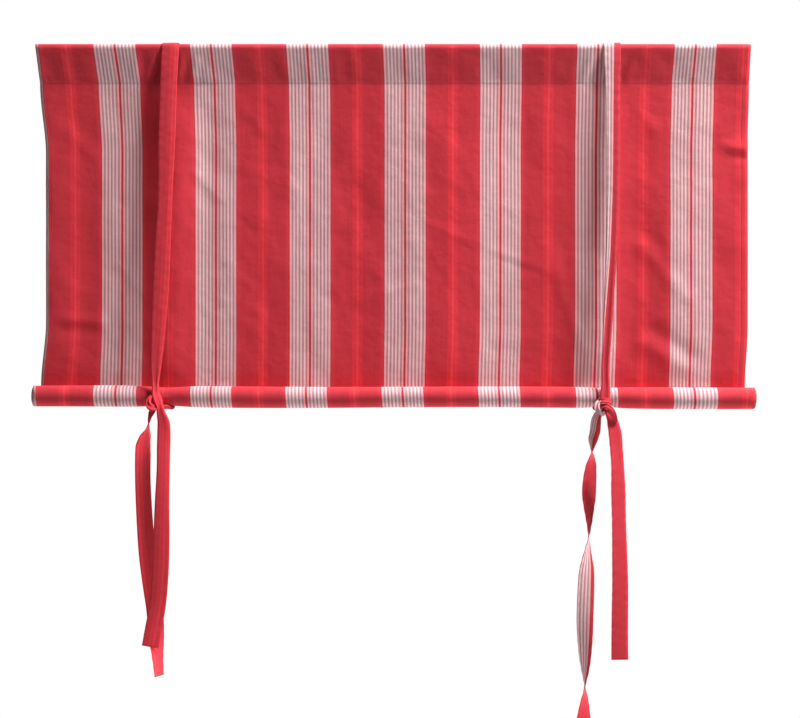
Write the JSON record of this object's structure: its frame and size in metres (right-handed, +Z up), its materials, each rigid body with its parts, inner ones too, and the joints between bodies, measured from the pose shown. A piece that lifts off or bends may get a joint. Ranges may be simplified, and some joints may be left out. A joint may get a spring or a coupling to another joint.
{
  "type": "tie-up roll blind",
  "caption": "Striped cotton window blind on a rod in its top pocket, with its lower part rolled up towards the room and held by two knotted cloth ties.",
  "frame": {"origin": "the middle of the top rod's axis, where the blind is held", "axes": "+X along the blind's width to the right as seen from the room, -Y towards the room, +Z up"},
  "size_m": [1.004, 0.055, 0.9654],
  "materials": {
    "striped_cotton": "woven cotton with red and pale warp stripes",
    "tie_cotton": "the same woven cotton, folded lengthwise and sewn",
    "rod_steel": "plain drawn steel tube",
    "dowel_wood": "plain pine dowel"
  },
  "bodies": {
    "root": {"cloth_panel": "striped_cotton", "left_tie": "tie_cotton", "right_tie": "tie_cotton", "top_rod": "rod_steel", "bottom_rod": "dowel_wood"}
  },
  "joints": []
}
